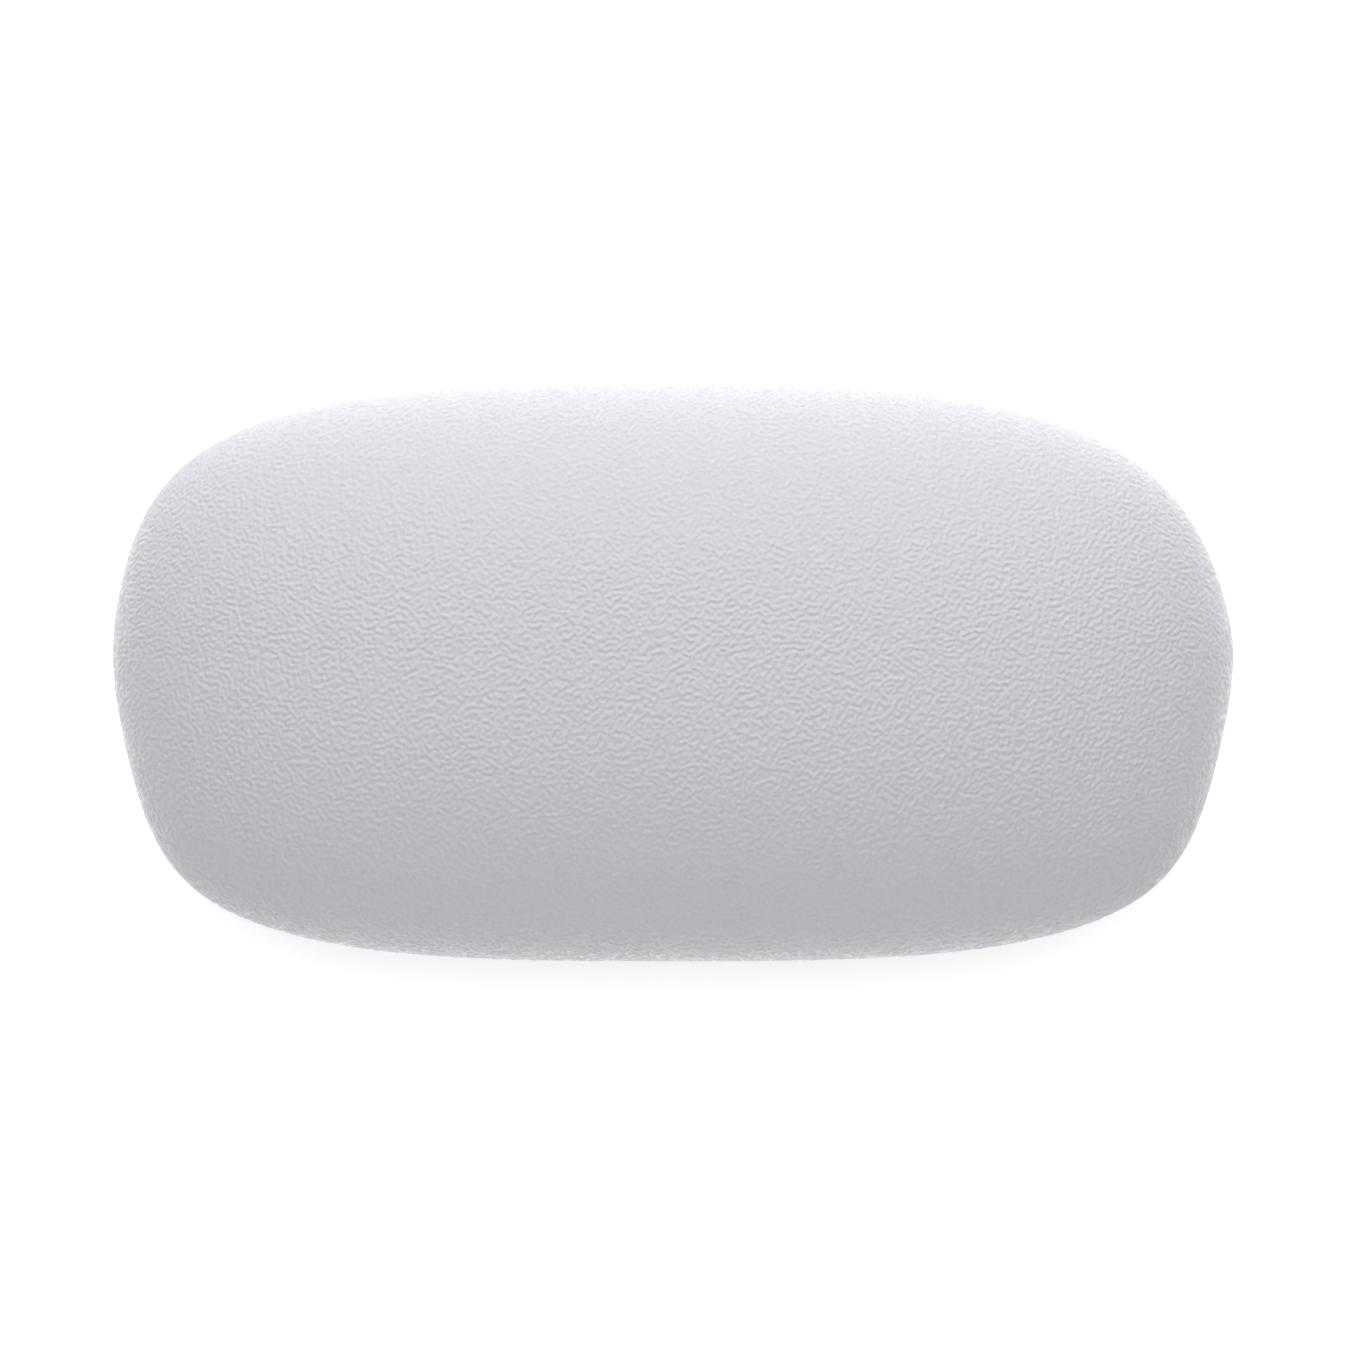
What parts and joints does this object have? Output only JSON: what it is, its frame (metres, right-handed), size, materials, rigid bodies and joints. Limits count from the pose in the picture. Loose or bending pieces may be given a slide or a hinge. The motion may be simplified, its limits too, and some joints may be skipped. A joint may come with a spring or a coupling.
{
  "type": "bath pillow",
  "caption": "Moulded soft cushion with a grained crowned front and rounded ends, held to a bath wall by swivelling suction cups on its flat back to rest the head.",
  "frame": {"origin": "middle of the pillow, in the plane of the four cup lips: the wall of the bath", "axes": "+X along the pillow, to the right seen from the front; +Y to its upper edge, towards the rim of the bath; +Z out of the wall, towards the head"},
  "size_m": [0.28, 0.144, 0.0656],
  "materials": {
    "skin_front": "leather grain, satin",
    "skin_back": "smooth, satin",
    "foam": "open-cell foam",
    "carrier": "natural, matt",
    "socket": "satin",
    "cup_pvc": "clear, gloss"
  },
  "bodies": {
    "pillow": {"front_skin": "skin_front", "back_skin": "skin_back", "foam_core": "foam", "carrier_plate": "carrier", "socket_cap_upper_left": "carrier", "cup_socket_upper_left": "socket", "socket_cap_upper_right": "carrier", "cup_socket_upper_right": "socket", "socket_cap_lower_left": "carrier", "cup_socket_lower_left": "socket", "socket_cap_lower_right": "carrier", "cup_socket_lower_right": "socket"},
    "cup_upper_left": {"suction_cup_upper_left": "cup_pvc"},
    "cup_upper_right": {"suction_cup_upper_right": "cup_pvc"},
    "cup_lower_left": {"suction_cup_lower_left": "cup_pvc"},
    "cup_lower_right": {"suction_cup_lower_right": "cup_pvc"}
  },
  "joints": [
    {"name": "swivel_upper_left", "type": "hinge", "parent": "pillow", "child": "cup_upper_left", "pos_m": [-0.07, 0.027, 0.0123], "axis": [0, 0, 1], "continuous": true},
    {"name": "swivel_upper_right", "type": "hinge", "parent": "pillow", "child": "cup_upper_right", "pos_m": [0.07, 0.027, 0.0123], "axis": [0, 0, 1], "continuous": true},
    {"name": "swivel_lower_left", "type": "hinge", "parent": "pillow", "child": "cup_lower_left", "pos_m": [-0.07, -0.027, 0.0123], "axis": [0, 0, 1], "continuous": true},
    {"name": "swivel_lower_right", "type": "hinge", "parent": "pillow", "child": "cup_lower_right", "pos_m": [0.07, -0.027, 0.0123], "axis": [0, 0, 1], "continuous": true}
  ]
}
